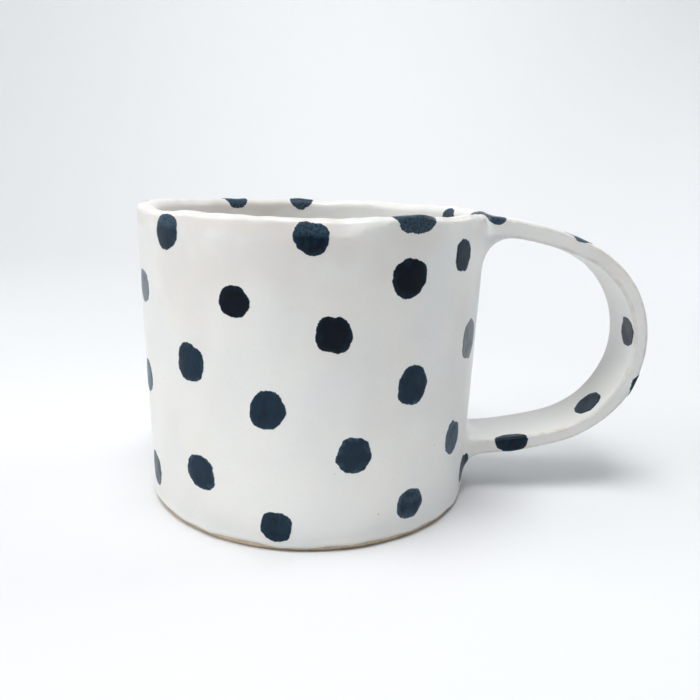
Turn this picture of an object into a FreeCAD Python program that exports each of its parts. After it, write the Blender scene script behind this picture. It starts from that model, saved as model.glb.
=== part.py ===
"""Slab-built stoneware mug with a strap handle, a white glaze and brushed dots.

The frame's origin is the centre of the foot on the table, +Z is up and +X points to the handle.
Lengths are millimetres. Outside sizes are those of the glazed mug, so the clay lies one glaze
thickness under them, and a level says how far a surface lies under the glaze: clay at
glaze_thickness, the glaze itself at nothing, and the brushed dots above it.
"""

import FreeCAD, Part
import math
import os

import Sketcher

# name, value, what it is
SIZES = (
    ("mug_height", 80.0, "table to the top of the rim"),
    ("rim_radius", 47.0, "outside radius at the rim"),
    ("foot_radius", 45.3, "outside radius at the table"),
    ("wall_thickness", 4.6, "through the wall, glaze on both faces"),
    ("rim_round", 2.1, "rounding of both edges of the rim"),
    ("base_thickness", 6.0, "clay slab that the wall stands on"),
    ("foot_bevel", 0.8, "bevel round the bottom of the base"),
    ("bare_foot_height", 1.5, "unglazed clay above the table"),
    ("coil_radius", 7.0, "clay worked into the corner inside"),
    ("glaze_thickness", 0.4, "coat of fired glaze"),
    ("handle_reach", 47.5, "wall at the rim to the back of the handle"),
    ("strap_width", 19.0, "handle's strap, across"),
    ("strap_thickness", 4.4, "handle's strap, through"),
    ("strap_edge_round", 1.2, "rounding of the strap's long edges"),
    ("handle_top_drop", 3.4, "rim to the middle of the strap's upper end"),
    ("handle_bottom_height", 13.3, "table to the middle of the strap's lower end"),
    ("loop_tuck", 3.3, "how much the loop's radius is under half the ends' spacing"),
    ("loop_sag", 0.6, "how far the loop's centre hangs under the ends' middle"),
    ("joint_spread", 6.5, "worked clay past each edge of the strap, on the wall"),
    ("joint_corner", 4.0, "extra rounding of the worked clay's corners, on the wall"),
    ("joint_lip", 0.3, "worked clay's thickness where it ends on the strap"),
    ("top_joint_reach", 9.0, "worked clay along the strap's upper end, from the wall"),
    ("top_joint_over", 0.8, "worked clay above the strap's upper end"),
    ("top_joint_under", 9.0, "worked clay below the strap's upper end"),
    ("bottom_joint_reach", 6.5, "worked clay along the strap's lower end, from the wall"),
    ("bottom_joint_over", 3.5, "worked clay above the strap's lower end"),
    ("bottom_joint_under", 5.5, "worked clay below the strap's lower end"),
    ("dot_width", 8.8, "usual dot, across"),
    ("dot_height", 9.4, "usual dot, up and down"),
    ("dot_thickness", 0.2, "brushed colour standing on the glaze"),
    ("dot_bite", 3.0, "half depth of the blank that cuts a dot from the skin"),
    ("rim_dot_bite", 7.0, "the same for a dot that wraps over the rim"),
)

# Azimuth in degrees from the handle, counterclockwise from above, height as a share of the mug's
# height, and size as a share of the usual dot. The brush worked in leaning columns of three or
# four, each lower on the wall than the last.
WALL_DOTS = (
    (-156, 0.750, 1.00), (-157.5, 0.450, 1.00), (-154, 0.130, 0.98),
    (-135.5, 0.944, 1.03), (-127, 0.561, 1.02), (-124.5, 0.214, 1.06),
    (-110.5, 0.763, 0.87), (-101, 0.453, 1.00), (-98.5, 0.083, 0.89),
    (-89, 0.956, 0.94), (-82.5, 0.681, 1.00), (-75.5, 0.314, 1.02),
    (-60.5, 0.835, 1.01), (-57, 0.511, 1.00), (-55, 0.118, 0.94),
    (-37, 0.885, 0.87), (-26, 0.601, 1.10), (-34, 0.285, 1.02),
    (-16, 0.110, 0.95), (14, 0.600, 1.00),
    (40, 0.820, 0.96), (44, 0.500, 1.03), (42, 0.180, 0.92),
    (66, 0.660, 1.00), (69, 0.350, 0.95),
    (90, 0.810, 1.04), (93, 0.490, 0.92), (91, 0.160, 1.00),
    (116, 0.690, 0.90), (118, 0.360, 1.06),
    (140, 0.840, 1.00), (143, 0.530, 0.94), (141, 0.200, 1.03),
    (177, 0.960, 0.90), (171, 0.610, 1.05), (168, 0.290, 0.97),
)
# Azimuths of the dots that wrap over the rim, and of the one brushed inside the cup.
RIM_DOTS = (-59, 97, 127)
INSIDE_DOT = (20, 0.955)
# Which arc of the strap, degrees along it from the wall (or, on the loop, up from its back), which
# face (+1 the outer face, -1 the inner one, 0 the edge towards -Y), and size as a share.
HANDLE_DOTS = (
    ("top", 5, 1, 0.80), ("top", 19, 1, 1.00), ("loop", 40, 1, 1.00), ("loop", 9, 1, 0.95),
    ("loop", 7, -1, 1.08), ("loop", -22, 1, 1.00), ("loop", -47, -1, 1.00), ("bottom", 8, 0, 0.95),
)
# Shares of the worked clay's reach, from the wall, where its hollow is given a section.
JOINT_STATIONS = (0.0, 0.13, 0.43, 1.0)


class Size:
    """A length that knows its value now and the spreadsheet formula behind it."""

    def __init__(self, value, formula):
        self.value = value
        self.formula = formula

    @staticmethod
    def of(other):
        return other if isinstance(other, Size) else Size(float(other), repr(float(other)))

    def __add__(self, other):
        other = Size.of(other)
        return Size(self.value + other.value, f"({self.formula} + {other.formula})")

    def __sub__(self, other):
        other = Size.of(other)
        return Size(self.value - other.value, f"({self.formula} - {other.formula})")

    def __mul__(self, other):
        other = Size.of(other)
        return Size(self.value * other.value, f"({self.formula} * {other.formula})")

    def __truediv__(self, other):
        other = Size.of(other)
        return Size(self.value / other.value, f"({self.formula} / {other.formula})")

    def __neg__(self):
        return Size(-self.value, f"(0 - {self.formula})")

    def root(self):
        return Size(math.sqrt(self.value), f"sqrt({self.formula})")

    def angle_over(self, run):
        """The angle in degrees of a slope that rises by this size over a run."""
        degrees = math.degrees(math.atan2(self.value, run.value))
        return Size(degrees, f"atan2({self.formula}; {run.formula})")

    def at_most(self, limit):
        return Size(min(self.value, limit.value), f"min({self.formula}; {limit.formula})")


doc = FreeCAD.newDocument("StonewareMug")


def fill_sheet():
    """Puts the driving sizes in the spreadsheet and gives them back by name."""
    sheet = doc.addObject("Spreadsheet::Sheet", "Sizes")
    found = {}
    for row, (name, value, meaning) in enumerate(SIZES, start=1):
        sheet.set(f"A{row}", name)
        sheet.set(f"B{row}", str(value))
        sheet.set(f"C{row}", meaning)
        sheet.setAlias(f"B{row}", name)
        found[name] = Size(value, f"Sizes.{name}")
    doc.recompute()
    return found


S = fill_sheet()
NONE = Size.of(0)
CLAY = S["glaze_thickness"]
GLAZE = NONE
PAINT = -S["dot_thickness"]
# The largest rounding of one edge of the rim, as a share of the wall's thickness.
WIDEST_ROUND = 0.46
# Two lengths closer than this are the same length.
SAME = 0.01


# ---- sketches ---------------------------------------------------------------------------------

def bind(thing, path, size):
    thing.setExpression(path, size.formula)


def new_sketch(body, role, offset=NONE):
    """A sketch on one of the body's origin planes, moved along the plane's normal."""
    sketch = body.newObject("Sketcher::SketchObject", body.Name + "_sketch")
    plane = next(f for f in body.Origin.OriginFeatures if f.Role == role)
    sketch.AttachmentSupport = (plane, [""])
    sketch.MapMode = "FlatFace"
    sketch.AttachmentOffset = FreeCAD.Placement(
        FreeCAD.Vector(0, 0, offset.value), FreeCAD.Rotation()
    )
    bind(sketch, "AttachmentOffset.Base.z", offset)
    return sketch


def dimension(sketch, kind, where, size):
    """A dimension of that kind, bound to the size's formula."""
    number = sketch.addConstraint(Sketcher.Constraint(kind, *where, size.value))
    bind(sketch, f"Constraints[{number}]", size)


def pin_point(sketch, element, point, x, y):
    """Fixes a point's two coordinates. A coordinate of NONE puts it on that axis instead."""
    for kind, axis, size in (("DistanceX", -2, x), ("DistanceY", -1, y)):
        if size is NONE:
            sketch.addConstraint(Sketcher.Constraint("PointOnObject", element, point, axis))
        else:
            dimension(sketch, kind, (-1, 1, element, point), size)


def polygon(sketch, corners):
    """A closed outline through corners given as (x, y) sizes."""
    flat = [FreeCAD.Vector(x.value, y.value, 0) for x, y in corners]
    for here, there in zip(flat, flat[1:] + flat[:1]):
        sketch.addGeometry(Part.LineSegment(here, there), False)
    for side in range(len(corners)):
        following = (side + 1) % len(corners)
        sketch.addConstraint(Sketcher.Constraint("Coincident", side, 2, following, 1))
    for side, (x, y) in enumerate(corners):
        pin_point(sketch, side, 1, x, y)


def round_rectangle(sketch, half_width, low, high, radius, upright=False):
    """A rectangle with round corners, from low to high and centred across. Upright turns it a
    quarter, so that low to high runs along the sketch's first axis."""
    reach, bottom, top = half_width - radius, low + radius, high - radius
    r, a = radius.value, reach.value
    b, t = bottom.value, top.value
    turn = -math.pi / 2 if upright else 0.0

    def point(across, along):
        return FreeCAD.Vector(along, -across, 0) if upright else FreeCAD.Vector(across, along, 0)

    def corner(across, along, start):
        circle = Part.Circle(point(across, along), FreeCAD.Vector(0, 0, 1), r)
        begin = turn + start * math.pi / 2
        sketch.addGeometry(Part.ArcOfCircle(circle, begin, begin + math.pi / 2), False)

    def side(start, end):
        sketch.addGeometry(Part.LineSegment(point(*start), point(*end)), False)

    side((-a, b - r), (a, b - r))
    corner(a, b, -1)
    side((a + r, b), (a + r, t))
    corner(a, t, 0)
    side((a, t + r), (-a, t + r))
    corner(-a, t, 1)
    side((-a - r, t), (-a - r, b))
    corner(-a, b, 2)
    for edge in range(8):
        sketch.addConstraint(Sketcher.Constraint("Tangent", edge, 2, (edge + 1) % 8, 1))
    for other in (3, 5, 7):
        sketch.addConstraint(Sketcher.Constraint("Equal", 1, other))
    centre_line = -1 if upright else -2
    for right, left in ((1, 7), (3, 5)):
        sketch.addConstraint(Sketcher.Constraint("Symmetric", right, 3, left, 3, centre_line))
    sketch.addConstraint(Sketcher.Constraint("Horizontal" if upright else "Vertical", 2))
    across, along = ("DistanceY", "DistanceX") if upright else ("DistanceX", "DistanceY")
    dimension(sketch, "Radius", (1,), radius)
    dimension(sketch, across, (-1, 1, 1, 3), -reach if upright else reach)
    dimension(sketch, along, (-1, 1, 1, 3), bottom)
    dimension(sketch, along, (-1, 1, 3, 3), top)


def turn_outline(body, name, sketch, axis, angle):
    """Turns the sketch's outline about a straight line between two points, by an angle."""
    ends = [FreeCAD.Vector(x.value, y.value, 0) for x, y in axis]
    line = sketch.addGeometry(Part.LineSegment(*ends), True)
    for point, (x, y) in enumerate(axis, start=1):
        pin_point(sketch, line, point, x, y)
    turn = body.newObject("PartDesign::Revolution", name)
    turn.Profile = sketch
    turn.ReferenceAxis = (sketch, ["Axis0"])
    turn.Angle = angle.value
    bind(turn, "Angle", angle)


# ---- solids of revolution ---------------------------------------------------------------------

def outer_radius(level, height):
    """The cup's outside radius at a height, at a level under the glaze."""
    taper = (S["rim_radius"] - S["foot_radius"]) / S["mug_height"]
    return S["foot_radius"] + taper * height - level


def inner_radius(level, height):
    return outer_radius(level, height) - S["wall_thickness"] + level * 2


def edges_round(shape, radius, height):
    """Names of the circular edges of about that radius at that height."""
    names = []
    for number, edge in enumerate(shape.Edges, start=1):
        curve = edge.Curve
        if not isinstance(curve, Part.Circle):
            continue
        level = abs(edge.BoundBox.ZMin - height) < SAME and edge.BoundBox.ZLength < SAME
        if level and abs(curve.Radius - radius) < SAME:
            names.append(f"Edge{number}")
    return names


def revolved(name, corners, rounds=()):
    """A body turned about Z from corners in the XZ plane. rounds holds (x, z, radius)."""
    body = doc.addObject("PartDesign::Body", name)
    sketch = new_sketch(body, "XZ_Plane")
    polygon(sketch, corners)
    turn = body.newObject("PartDesign::Revolution", name + "_turn")
    turn.Profile = sketch
    turn.ReferenceAxis = (sketch, ["V_Axis"])
    turn.Angle = 360
    doc.recompute()
    for x, z, radius in rounds:
        last = body.Tip
        names = edges_round(last.Shape, x.value, z.value)
        rounding = body.newObject("PartDesign::Fillet", name + "_round")
        rounding.Base = (last, names)
        rounding.Radius = radius.value
        bind(rounding, "Radius", radius)
        doc.recompute()
    return body


def envelope(name, level, low):
    """The cup filled solid, from a height up to the rim, as the outside alone shapes it."""
    top = S["mug_height"] - level
    corners = (
        (NONE, low), (outer_radius(level, low), low), (outer_radius(level, top), top), (NONE, top),
    )
    return revolved(
        name, corners, [(outer_radius(level, top), top, rim_rounding(level))]
    )


def rim_rounding(level):
    """Radius of the rim's edges, never so large that the two sides of the wall would meet."""
    return S["rim_round"].at_most(S["wall_thickness"] * WIDEST_ROUND) - level


def floor_height(level):
    return S["base_thickness"] + S["glaze_thickness"] - level


def corner_radius(level):
    return S["coil_radius"] - S["glaze_thickness"] + level


def cavity(name, level):
    """The space inside the cup, standing above the rim so that it cuts cleanly."""
    floor = floor_height(level)
    top = S["mug_height"] + S["wall_thickness"]
    corners = (
        (NONE, floor), (inner_radius(level, floor), floor), (inner_radius(level, top), top),
        (NONE, top),
    )
    return revolved(
        name, corners, [(inner_radius(level, floor), floor, corner_radius(level))]
    )


def cup(name, level, low):
    """Wall and floor together as one solid, at a level under the glaze."""
    floor, top = floor_height(level), S["mug_height"] - level
    outside, inside = outer_radius(level, top), inner_radius(level, top)
    foot_inside = inner_radius(level, floor)
    corners = (
        (NONE, low), (outer_radius(level, low), low), (outside, top), (inside, top),
        (foot_inside, floor), (NONE, floor),
    )
    rim = rim_rounding(level)
    rounds = [(outside, top, rim), (inside, top, rim), (foot_inside, floor, corner_radius(level))]
    return revolved(name, corners, rounds)


def wall():
    low, top = S["base_thickness"], S["mug_height"] - CLAY
    outside, inside = outer_radius(CLAY, top), inner_radius(CLAY, top)
    corners = (
        (inner_radius(CLAY, low), low), (outer_radius(CLAY, low), low), (outside, top), (inside, top),
    )
    rim = rim_rounding(CLAY)
    return revolved("wall", corners, [(outside, top, rim), (inside, top, rim)])


def base():
    bevel, top = S["foot_bevel"], S["base_thickness"]
    corners = (
        (NONE, NONE), (outer_radius(CLAY, NONE) - bevel, NONE), (outer_radius(CLAY, bevel), bevel),
        (outer_radius(CLAY, top), top), (NONE, top),
    )
    return revolved("base", corners)


def corner_coil(clay_cavity):
    """Clay pressed into the corner between floor and wall, up to the round of the cavity."""
    low = S["base_thickness"]
    high = low + S["coil_radius"]
    inside = inner_radius(CLAY, low)
    blank = revolved("corner_coil_blank", (
        (inside - S["coil_radius"], low), (inside, low), (inner_radius(CLAY, high), high),
    ))
    return combined("Part::Cut", "corner_coil", (blank, clay_cavity))


# ---- handle -----------------------------------------------------------------------------------

def combined(kind, name, parts):
    """A boolean of the document's objects: Part::Cut and Part::Common take two, a fuse takes any."""
    result = doc.addObject(kind, name)
    if kind == "Part::MultiFuse":
        result.Shapes = list(parts)
    else:
        result.Base, result.Tool = parts
    return result


class Loop:
    """The strap's middle line: a round loop that runs into a flatter arc at each end, both
    leaving the wall level. The ends lie inside the wall, and the flat arcs' radii follow from
    being level there and tangent to the loop."""

    def __init__(self):
        self.top = S["mug_height"] - S["handle_top_drop"]
        self.bottom = S["handle_bottom_height"]
        self.top_root = outer_radius(GLAZE, self.top) - S["wall_thickness"] / 2
        self.bottom_root = outer_radius(GLAZE, self.bottom) - S["wall_thickness"] / 2
        self.radius = (self.top - self.bottom) / 2 - S["loop_tuck"]
        self.height = (self.top + self.bottom) / 2 - S["loop_sag"]
        back = S["rim_radius"] + S["handle_reach"] - S["strap_thickness"] / 2
        self.out = back - self.radius
        self.top_radius = self._flat_radius(self.top_root, self.top - self.height)
        self.bottom_radius = self._flat_radius(self.bottom_root, self.height - self.bottom)
        self.top_centre = self.top - self.top_radius
        self.bottom_centre = self.bottom + self.bottom_radius

    def _flat_radius(self, root, rise):
        run = self.out - root
        spare = run * run + rise * rise - self.radius * self.radius
        return spare / ((rise - self.radius) * 2)


LOOP = Loop()


def strap(name, level):
    """The handle's strap: its section turned about the centre of each arc, from wall to wall."""
    body = doc.addObject("PartDesign::Body", name)
    half = S["strap_thickness"] / 2 - level
    half_width = S["strap_width"] / 2 - level
    near, far = -half_width, half_width
    corner = S["strap_edge_round"] - level
    # each end's arc: where it leaves the wall, its height there, its centre's height, and the
    # order of the axis' ends that turns it away from the wall
    ends = (
        ("top", LOOP.top_root, LOOP.top, LOOP.top_centre, (near, far)),
        ("bottom", LOOP.bottom_root, LOOP.bottom, LOOP.bottom_centre, (far, near)),
    )
    for end, root, height, centre, (first, second) in ends:
        run, rise = LOOP.out - root, LOOP.height - centre
        if end == "bottom":
            rise = -rise
        section = new_sketch(body, "YZ_Plane", root)
        round_rectangle(section, half_width, height - half, height + half, corner)
        axis = ((first, centre), (second, centre))
        turn_outline(body, f"{name}_{end}", section, axis, run.angle_over(rise))
        # the loop turns up to meet the top arc and down to meet the bottom one
        section = new_sketch(body, "XY_Plane", LOOP.height)
        back = LOOP.out + LOOP.radius
        round_rectangle(section, half_width, back - half, back + half, corner, upright=True)
        axis = ((LOOP.out, second), (LOOP.out, first))
        turn_outline(body, f"{name}_loop_to_{end}", section, axis, rise.angle_over(run))
    return body


def quarter_round(share):
    """Height left of a hollow quarter round, at a share of the way along it."""
    left = Size.of(1) - share
    return Size.of(1) - (Size.of(1) - left * left).root()


def joint(name, level, end):
    """Worked clay round one end of the strap, hollow like a thumb's stroke: wide and deep on
    the wall, and a thin lip where it ends on the strap."""
    body = doc.addObject("PartDesign::Body", name)
    middle = LOOP.top if end == "top" else LOOP.bottom
    reach, over, under = (S[f"{end}_joint_{side}"] for side in ("reach", "over", "under"))
    half_width, half = S["strap_width"] / 2, S["strap_thickness"] / 2
    lip = S["joint_lip"] - level
    face = outer_radius(GLAZE, middle)
    spread_edge = half_width + S["joint_spread"]
    # where the round wall has fallen back to, at the edge of the worked clay
    side = (face * face - spread_edge * spread_edge).root()
    stations = [(side, Size.of(1))]
    for share in JOINT_STATIONS:
        stations.append((face + reach * share, quarter_round(Size.of(share))))
    sections = []
    for place, flare in stations:
        sideways = quarter_round((place - side) / (face + reach - side))
        section = new_sketch(body, "YZ_Plane", place)
        round_rectangle(
            section,
            half_width + lip + S["joint_spread"] * sideways,
            middle - half - lip - under * flare,
            middle + half + lip + (over - S["joint_lip"]) * flare,
            S["strap_edge_round"] + lip + S["joint_corner"] * sideways,
        )
        sections.append(section)
    loft = body.newObject("PartDesign::AdditiveLoft", name + "_loft")
    loft.Profile = sections[0]
    loft.Sections = sections[1:]
    return body


def both_joints(prefix, level):
    return tuple(joint(f"{prefix}_{end}_joint", level, end) for end in ("top", "bottom"))


def handle_outside(prefix, level, clay_envelope):
    """Strap and joints at a level, as far as they stand out of the clay cup."""
    whole = combined(
        "Part::MultiFuse", prefix + "_handle_whole",
        (strap(prefix + "_strap", level), *both_joints(prefix, level)),
    )
    return combined("Part::Cut", prefix + "_handle", (whole, clay_envelope))


# ---- dots -------------------------------------------------------------------------------------

def about(axis, degrees):
    return FreeCAD.Rotation(FreeCAD.Vector(*axis), degrees)


def dot(name, skin, size, centre, turn, bite):
    """The part of the painted skin inside an ellipsoid: bite deep, and size across and up. Its
    poles are its innermost and outermost points, well clear of the skin."""
    blank = doc.addObject("Part::Ellipsoid", name + "_blank")
    for radius, value in (("Radius1", bite), ("Radius2", size[1] / 2), ("Radius3", size[0] / 2)):
        setattr(blank, radius, value.value)
        bind(blank, radius, value)
    blank.Placement = FreeCAD.Placement(
        FreeCAD.Vector(*(along.value for along in centre)), turn * about((0, 1, 0), 90)
    )
    for axis, along in zip("xyz", centre):
        bind(blank, f"Placement.Base.{axis}", along)
    return combined("Part::Common", name, (skin, blank))


def at_azimuth(radius, azimuth, height):
    angle = math.radians(azimuth)
    return radius * math.cos(angle), radius * math.sin(angle), height


def usual_dot(scale=1.0):
    return S["dot_width"] * scale, S["dot_height"] * scale


def cup_dots(skin):
    made = []
    for number, (azimuth, share, scale) in enumerate(WALL_DOTS, start=1):
        height = S["mug_height"] * share
        centre = at_azimuth(outer_radius(GLAZE, height), azimuth, height)
        turn = about((0, 0, 1), azimuth)
        size = usual_dot(scale)
        made.append(dot(f"wall_dot_{number:02d}", skin, size, centre, turn, S["dot_bite"]))
    for number, azimuth in enumerate(RIM_DOTS, start=1):
        middle = S["rim_radius"] - S["wall_thickness"] / 2
        centre = at_azimuth(middle, azimuth, S["mug_height"])
        turn = about((0, 0, 1), azimuth)
        made.append(dot(f"rim_dot_{number}", skin, usual_dot(), centre, turn, S["rim_dot_bite"]))
    azimuth, share = INSIDE_DOT
    height = S["mug_height"] * share
    centre = at_azimuth(inner_radius(GLAZE, height), azimuth, height)
    turn = about((0, 0, 1), azimuth)
    made.append(dot("inside_dot", skin, usual_dot(), centre, turn, S["dot_bite"]))
    return made


def handle_dots(skin):
    arcs = {
        "top": (LOOP.top_root, LOOP.top_centre, LOOP.top_radius, 90, -1),
        "loop": (LOOP.out, LOOP.height, LOOP.radius, 0, 1),
        "bottom": (LOOP.bottom_root, LOOP.bottom_centre, LOOP.bottom_radius, -90, 1),
    }
    made = []
    for number, (arc, along, face, scale) in enumerate(HANDLE_DOTS, start=1):
        x, z, radius, start, sense = arcs[arc]
        degrees = start + sense * along
        angle = math.radians(degrees)
        surface = radius + S["strap_thickness"] * (face / 2)
        across = NONE if face else S["strap_width"] / -2
        centre = (x + surface * math.cos(angle), across, z + surface * math.sin(angle))
        turn = about((0, 1, 0), -degrees)
        if not face:
            turn = turn * about((0, 0, 1), 90)
        size = usual_dot(scale)
        made.append(dot(f"handle_dot_{number}", skin, size, centre, turn, S["dot_bite"]))
    return made


# ---- the mug ----------------------------------------------------------------------------------

def build():
    """Makes every sub-part and gives back the objects that are written out."""
    clay_envelope = envelope("clay_envelope", CLAY, NONE)
    clay_cavity = cavity("clay_cavity", CLAY)
    clay_strap = strap("clay_strap", CLAY)
    handle = combined("Part::Cut", "handle", (clay_strap, clay_envelope))
    joints = []
    for body, label in zip(both_joints("clay", CLAY), ("handle_top_joint", "handle_bottom_joint")):
        clear = combined("Part::Cut", label + "_clear", (body, clay_envelope))
        joints.append(combined("Part::Cut", label, (clear, clay_strap)))
    clay = [wall(), base(), corner_coil(clay_cavity), handle, *joints]

    def whole(prefix, level):
        return combined("Part::MultiFuse", prefix, (
            cup(prefix + "_cup", level, S["bare_foot_height"]),
            handle_outside(prefix, level, clay_envelope),
        ))

    glazed = whole("glazed", GLAZE)
    painted = whole("painted", PAINT)
    solid_clay = combined("Part::MultiFuse", "solid_clay", clay)
    glaze_coat = combined("Part::Cut", "glaze_coat", (glazed, solid_clay))
    skin = combined("Part::Cut", "painted_skin", (painted, glazed))
    return [*clay, glaze_coat, *cup_dots(skin), *handle_dots(skin)]


def write(subparts):
    """Stops on anything that failed, and then writes one STEP file for each sub-part."""
    doc.recompute()
    for thing in doc.Objects:
        if {"Invalid", "Error"} & set(thing.State):
            raise RuntimeError(f"{thing.Label} failed to compute: {thing.State}")
    for part in subparts:
        shape = part.Shape
        if shape.isNull() or not shape.isValid() or not shape.Solids:
            raise RuntimeError(f"{part.Label} has no valid solid")
    os.makedirs("parts", exist_ok=True)
    for part in subparts:
        part.Shape.exportStep(os.path.join("parts", part.Label + ".step"))
        size = part.Shape.BoundBox
        print(
            f"{part.Label}: {part.Shape.Volume:.1f} mm3, {len(part.Shape.Solids)} solid,"
            f" {size.XLength:.1f} x {size.YLength:.1f} x {size.ZLength:.1f}"
        )


write(build())
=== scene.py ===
"""The look of a hand-built stoneware mug: white satin glaze, a bare clay foot and brushed dots.

Everything is in metres in the mug's own frame: origin at the centre of the foot, +Z up and +X
towards the handle. The glazed surface is a distance field, a turned cup and a bent strap that run
into each other. Each mesh is laid out as a plain grid and then moved onto that field, so that the
glaze, the clay under it and the dots on it all follow the same unevenness.
"""

import math

import bmesh
import bpy
import numpy as np
from mathutils import Matrix, Vector


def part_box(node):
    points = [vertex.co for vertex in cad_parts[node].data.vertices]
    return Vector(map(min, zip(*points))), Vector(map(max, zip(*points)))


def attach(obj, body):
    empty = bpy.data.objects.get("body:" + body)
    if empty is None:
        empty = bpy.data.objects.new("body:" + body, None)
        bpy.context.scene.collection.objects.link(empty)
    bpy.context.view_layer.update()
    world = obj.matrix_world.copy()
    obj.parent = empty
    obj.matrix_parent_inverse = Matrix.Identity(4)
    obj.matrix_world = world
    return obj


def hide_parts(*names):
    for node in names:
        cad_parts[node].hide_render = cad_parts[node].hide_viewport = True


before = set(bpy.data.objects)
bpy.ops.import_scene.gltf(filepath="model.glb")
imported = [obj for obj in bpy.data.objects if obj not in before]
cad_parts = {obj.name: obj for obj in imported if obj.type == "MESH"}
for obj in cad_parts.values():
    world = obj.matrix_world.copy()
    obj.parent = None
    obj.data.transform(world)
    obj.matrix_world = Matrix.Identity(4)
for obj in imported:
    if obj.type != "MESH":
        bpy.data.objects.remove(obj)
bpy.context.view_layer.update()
MM = 0.001


# ---- camera -----------------------------------------------------------------------------------

CAMERA_DISTANCE = 197.5 * MM
CAMERA_HEIGHT = 90.2 * MM
CAMERA_AZIMUTH = -88.5
CAMERA_HEADING = 88.27
CAMERA_PITCH = -14.46
CAMERA_ROLL = 1.66


def add_camera():
    """Looks at the mug from just above the rim, with the handle to the right."""
    data = bpy.data.cameras.new("camera")
    data.lens = 36
    data.sensor_width = 36
    data.clip_start = 0.01
    camera = bpy.data.objects.new("camera", data)
    bpy.context.collection.objects.link(camera)
    azimuth = math.radians(CAMERA_AZIMUTH)
    place = Vector((math.cos(azimuth), math.sin(azimuth), 0)) * CAMERA_DISTANCE
    place.z = CAMERA_HEIGHT
    camera.matrix_world = (
        Matrix.Translation(place)
        @ Matrix.Rotation(math.radians(CAMERA_HEADING - 90), 4, "Z")
        @ Matrix.Rotation(math.radians(CAMERA_PITCH + 90), 4, "X")
        @ Matrix.Rotation(math.radians(CAMERA_ROLL), 4, "Z")
    )
    bpy.context.scene.camera = camera


add_camera()


# ---- sizes ------------------------------------------------------------------------------------

GLAZE = 0.4 * MM
RIM_ROUND = 2.1 * MM
RIM_EDGE = 1.3 * MM
WALL = 4.6 * MM
STRAP = 4.4 * MM
STRAP_EDGE = 1.0 * MM
# how much smaller the loop is than half its ends' spacing, and how far its centre hangs
LOOP_TUCK = 3.3 * MM
LOOP_SAG = 0.6 * MM

glaze_low, glaze_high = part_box("glaze_coat")
base_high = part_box("base")[1]
coil_low, coil_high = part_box("corner_coil")
handle_low, handle_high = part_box("handle")

HEIGHT = glaze_high.z
RIM_START = HEIGHT - RIM_ROUND
RIM_RADIUS = -glaze_low.x
BASE_TOP = base_high.z
BASE_RADIUS = base_high.y + GLAZE
TAPER = (RIM_RADIUS - BASE_RADIUS) / (RIM_START - BASE_TOP)
FLOOR = BASE_TOP + GLAZE
COIL = coil_high.z - coil_low.z - GLAZE
STRAP_WIDTH = handle_high.y - handle_low.y + 2 * GLAZE
STRAP_TOP = handle_high.z + GLAZE - STRAP / 2
STRAP_BOTTOM = handle_low.z - GLAZE + STRAP / 2
BARE_FOOT = glaze_low.z


def outer_radius(z):
    return RIM_RADIUS + TAPER * (z - RIM_START)


# ---- unevenness -------------------------------------------------------------------------------

def smooth(low, high, value):
    """0 below low, 1 above high, and an even ramp between them."""
    share = np.clip((value - low) / (high - low), 0, 1)
    return share * share * (3 - 2 * share)


WAVE_WEIGHTS = (0.5, 1.5)


def waves(seed, orders, size, lean):
    """Slow unevenness of at most that size round the mug. lean is how far it twists per metre."""
    rng = np.random.default_rng(seed)
    terms = [(k, *rng.uniform(-1, 1, 2), rng.uniform(*WAVE_WEIGHTS)) for k in orders]
    whole = sum(weight for *_, weight in terms)

    def value(angle, height):
        total = sum(
            weight * np.cos(k * angle + math.pi * phase + lean * twist * height)
            for k, phase, twist, weight in terms
        )
        return size * total / whole

    return value


wall_waves = waves(4, (2, 3, 4, 5, 7, 9), 0.45 * MM, 45)
hand_waves = waves(11, (13, 17, 22, 27), 0.12 * MM, 260)
rim_waves = waves(23, (2, 3, 5, 6, 8, 11, 14), 0.8 * MM, 0)
rim_nicks = waves(61, (19, 26, 35, 47), 0.22 * MM, 0)
scallops = waves(67, (9, 14, 21, 29, 38), 1.3 * MM, 0)
foot_waves = waves(31, (3, 4, 7, 11, 16, 23, 31), 0.6 * MM, 0)
strap_waves = waves(42, (1, 2, 3, 5, 8), 0.35 * MM, 0)
sway_waves = waves(47, (1, 2, 3), 0.5 * MM, 0)

# Fingers have flattened the outside of the rim at the front: where the band starts, where it
# turns into the thumb's deeper press, where that press's lower edge begins to climb and where it
# runs out over the rim, in degrees.
PRESSED = (-158, -98, -84, -60)
PRESS_DEPTH = 4.4 * MM
BAND_LEAN = 0.17
THUMB_LEAN = 0.50
# over how many radians the press comes in, and how far past and short of its end it goes out
PRESS_IN = 0.3
PRESS_OUT = (0.03, 0.05)
CREASE_SOFT = 0.15 * MM


def thumb_press(angle, z):
    """How far the outside of the rim is pushed in."""
    start, thumb, climb, end = (math.radians(a) for a in PRESSED)
    left = np.clip((end - angle) / (end - climb), 0, 1)
    lean = BAND_LEAN + (THUMB_LEAN - BAND_LEAN) * smooth(thumb, climb, angle)
    lean = lean * smooth(start, start + PRESS_IN, angle)
    lean = lean * smooth(end + PRESS_OUT[0], end - PRESS_OUT[1], angle)
    crease = HEIGHT - (PRESS_DEPTH + scallops(angle, 0)) * left
    over = z - crease
    return lean * (over + np.sqrt(over * over + CREASE_SOFT * CREASE_SOFT)) / 2


# ---- the field --------------------------------------------------------------------------------

def round_max(a, b, radius):
    """Distance inside both of two faces whose edge has that radius."""
    a, b = a + radius, b + radius
    corner = np.hypot(np.maximum(a, 0), np.maximum(b, 0))
    return corner + np.minimum(np.maximum(a, b), 0) - radius


# the rim's rise and fall fades out down the wall, and its nicks sooner
LIFT_START = 0.4 * HEIGHT
NICK_DEPTH = 6 * MM


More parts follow.
